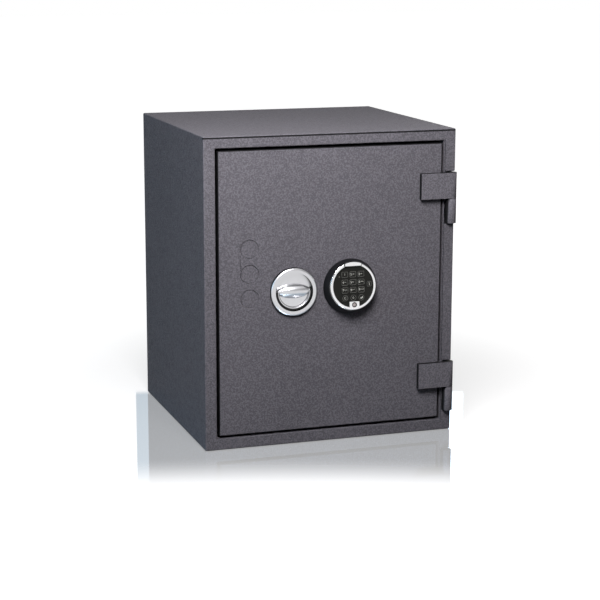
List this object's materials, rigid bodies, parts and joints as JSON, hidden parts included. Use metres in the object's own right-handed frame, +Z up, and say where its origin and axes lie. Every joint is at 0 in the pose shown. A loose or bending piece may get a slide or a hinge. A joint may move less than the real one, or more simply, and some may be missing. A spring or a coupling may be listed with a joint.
{
  "type": "fire-resistant safe",
  "caption": "Free-standing fire-resistant safe with a flush front door, external hinges, three-way boltwork, a fold-out turning handle, a round keypad lock and a shelf.",
  "frame": {"origin": "middle of the base footprint, on the surface that the safe stands on", "axes": "+Z up, the door faces -Y, +X to the right of someone who faces the door"},
  "size_m": [0.4225, 0.4107, 0.5],
  "materials": {
    "body_paint": "dark graphite fine-textured powder coat",
    "inner_paint": "light grey satin powder coat",
    "infill": "cast mineral fire filling, matt",
    "plated_steel": "zinc-plated steel",
    "brass": "plain turned brass",
    "seal_rubber": "matt black foamed seal",
    "satin_silver": "satin chrome-plated zinc casting",
    "bright_chrome": "bright chrome",
    "black_plastic": "satin black moulded plastic",
    "gloss_black": "semi-gloss black keypad face",
    "key_plastic": "soft black keys",
    "circuit_board": "green solder-masked board"
  },
  "bodies": {
    "safe_body": {"outer_casing": "body_paint", "back_panel": "body_paint", "door_frame": "body_paint", "inner_liner": "inner_paint", "wall_filling": "infill", "hinge_pockets": "body_paint", "hinge_knuckles": "body_paint", "hinge_pins": "plated_steel", "hinge_washers": "brass", "bolt_sockets": "plated_steel", "shelf": "inner_paint", "shelf_brackets": "inner_paint", "anchor_sleeves": "plated_steel"},
    "door": {"door_skin": "body_paint", "door_filling": "infill", "door_inner_plate": "inner_paint", "door_seal": "seal_rubber", "hinge_leaves": "body_paint", "flush_plugs": "body_paint", "boltwork_frame": "inner_paint", "rear_cover": "body_paint", "cover_screws": "plated_steel", "dog_bolts": "plated_steel", "lock_case": "plated_steel", "spindle_bush": "brass", "handle_ring": "satin_silver", "keypad_housing": "black_plastic", "keypad_bezel": "bright_chrome", "keypad_face": "gloss_black", "keypad_board": "circuit_board", "keypad_top_cap": "bright_chrome", "contact_bezel": "bright_chrome", "contact_button": "bright_chrome", "cable_sleeve": "black_plastic"},
    "handle": {"handle_dial": "satin_silver", "handle_spindle": "plated_steel", "spindle_nut": "plated_steel", "cam_disc": "plated_steel"},
    "flap": {"handle_flap": "satin_silver", "flap_pins": "satin_silver"},
    "side_boltwork": {"side_bolt_bar": "plated_steel", "side_bolts": "plated_steel"},
    "top_boltwork": {"top_bolt_bar": "plated_steel", "top_bolts": "plated_steel"},
    "bottom_boltwork": {"bottom_bolt_bar": "plated_steel", "bottom_bolts": "plated_steel"},
    "lock_bolt": {"lock_bolt": "brass"},
    "key_1": {"key_1": "key_plastic"},
    "key_2": {"key_2": "key_plastic"},
    "key_3": {"key_3": "key_plastic"},
    "key_4": {"key_4": "key_plastic"},
    "key_5": {"key_5": "key_plastic"},
    "key_6": {"key_6": "key_plastic"},
    "key_7": {"key_7": "key_plastic"},
    "key_8": {"key_8": "key_plastic"},
    "key_9": {"key_9": "key_plastic"},
    "key_clear": {"key_clear": "key_plastic"},
    "key_0": {"key_0": "key_plastic"},
    "key_enter": {"key_enter": "key_plastic"},
    "key_side": {"key_side": "key_plastic"}
  },
  "joints": [
    {"name": "door_swing", "type": "hinge", "parent": "safe_body", "child": "door", "pos_m": [0.204, -0.1955, 0], "axis": [0, 0, 1], "range_deg": [0, 175]},
    {"name": "handle_turn", "type": "hinge", "parent": "door", "child": "handle", "pos_m": [-0.064, -0.195, 0.25], "axis": [0, 1, 0], "range_deg": [0, 90]},
    {"name": "flap_fold", "type": "hinge", "parent": "handle", "child": "flap", "pos_m": [-0.064, -0.1955, 0.251], "axis": [-1, 0, 0], "range_deg": [0, 90]},
    {"name": "side_bolts_slide", "type": "slide", "parent": "door", "child": "side_boltwork", "axis": [-1, 0, 0], "range_m": [0, 0.024]},
    {"name": "top_bolts_slide", "type": "slide", "parent": "door", "child": "top_boltwork", "axis": [0, 0, 1], "range_m": [0, 0.024]},
    {"name": "bottom_bolts_slide", "type": "slide", "parent": "door", "child": "bottom_boltwork", "axis": [0, 0, -1], "range_m": [0, 0.024]},
    {"name": "lock_bolt_slide", "type": "slide", "parent": "door", "child": "lock_bolt", "axis": [-1, 0, 0], "range_m": [0, 0.012]},
    {"name": "key_1_press", "type": "slide", "parent": "door", "child": "key_1", "axis": [0, 0.9962, -0.0872], "range_m": [0, 0.0008], "stiffness_N_per_m": 600, "springref_m": -0.002},
    {"name": "key_2_press", "type": "slide", "parent": "door", "child": "key_2", "axis": [0, 0.9962, -0.0872], "range_m": [0, 0.0008], "stiffness_N_per_m": 600, "springref_m": -0.002},
    {"name": "key_3_press", "type": "slide", "parent": "door", "child": "key_3", "axis": [0, 0.9962, -0.0872], "range_m": [0, 0.0008], "stiffness_N_per_m": 600, "springref_m": -0.002},
    {"name": "key_4_press", "type": "slide", "parent": "door", "child": "key_4", "axis": [0, 0.9962, -0.0872], "range_m": [0, 0.0008], "stiffness_N_per_m": 600, "springref_m": -0.002},
    {"name": "key_5_press", "type": "slide", "parent": "door", "child": "key_5", "axis": [0, 0.9962, -0.0872], "range_m": [0, 0.0008], "stiffness_N_per_m": 600, "springref_m": -0.002},
    {"name": "key_6_press", "type": "slide", "parent": "door", "child": "key_6", "axis": [0, 0.9962, -0.0872], "range_m": [0, 0.0008], "stiffness_N_per_m": 600, "springref_m": -0.002},
    {"name": "key_7_press", "type": "slide", "parent": "door", "child": "key_7", "axis": [0, 0.9962, -0.0872], "range_m": [0, 0.0008], "stiffness_N_per_m": 600, "springref_m": -0.002},
    {"name": "key_8_press", "type": "slide", "parent": "door", "child": "key_8", "axis": [0, 0.9962, -0.0872], "range_m": [0, 0.0008], "stiffness_N_per_m": 600, "springref_m": -0.002},
    {"name": "key_9_press", "type": "slide", "parent": "door", "child": "key_9", "axis": [0, 0.9962, -0.0872], "range_m": [0, 0.0008], "stiffness_N_per_m": 600, "springref_m": -0.002},
    {"name": "key_clear_press", "type": "slide", "parent": "door", "child": "key_clear", "axis": [0, 0.9962, -0.0872], "range_m": [0, 0.0008], "stiffness_N_per_m": 600, "springref_m": -0.002},
    {"name": "key_0_press", "type": "slide", "parent": "door", "child": "key_0", "axis": [0, 0.9962, -0.0872], "range_m": [0, 0.0008], "stiffness_N_per_m": 600, "springref_m": -0.002},
    {"name": "key_enter_press", "type": "slide", "parent": "door", "child": "key_enter", "axis": [0, 0.9962, -0.0872], "range_m": [0, 0.0008], "stiffness_N_per_m": 600, "springref_m": -0.002},
    {"name": "key_side_press", "type": "slide", "parent": "door", "child": "key_side", "axis": [0, 0.9962, -0.0872], "range_m": [0, 0.0008], "stiffness_N_per_m": 600, "springref_m": -0.002}
  ],
  "couplings": [
    {"joint": "side_bolts_slide", "follows": "handle_turn", "m_per_rad": 0.015278},
    {"joint": "top_bolts_slide", "follows": "handle_turn", "m_per_rad": 0.015278},
    {"joint": "bottom_bolts_slide", "follows": "handle_turn", "m_per_rad": 0.015278}
  ]
}
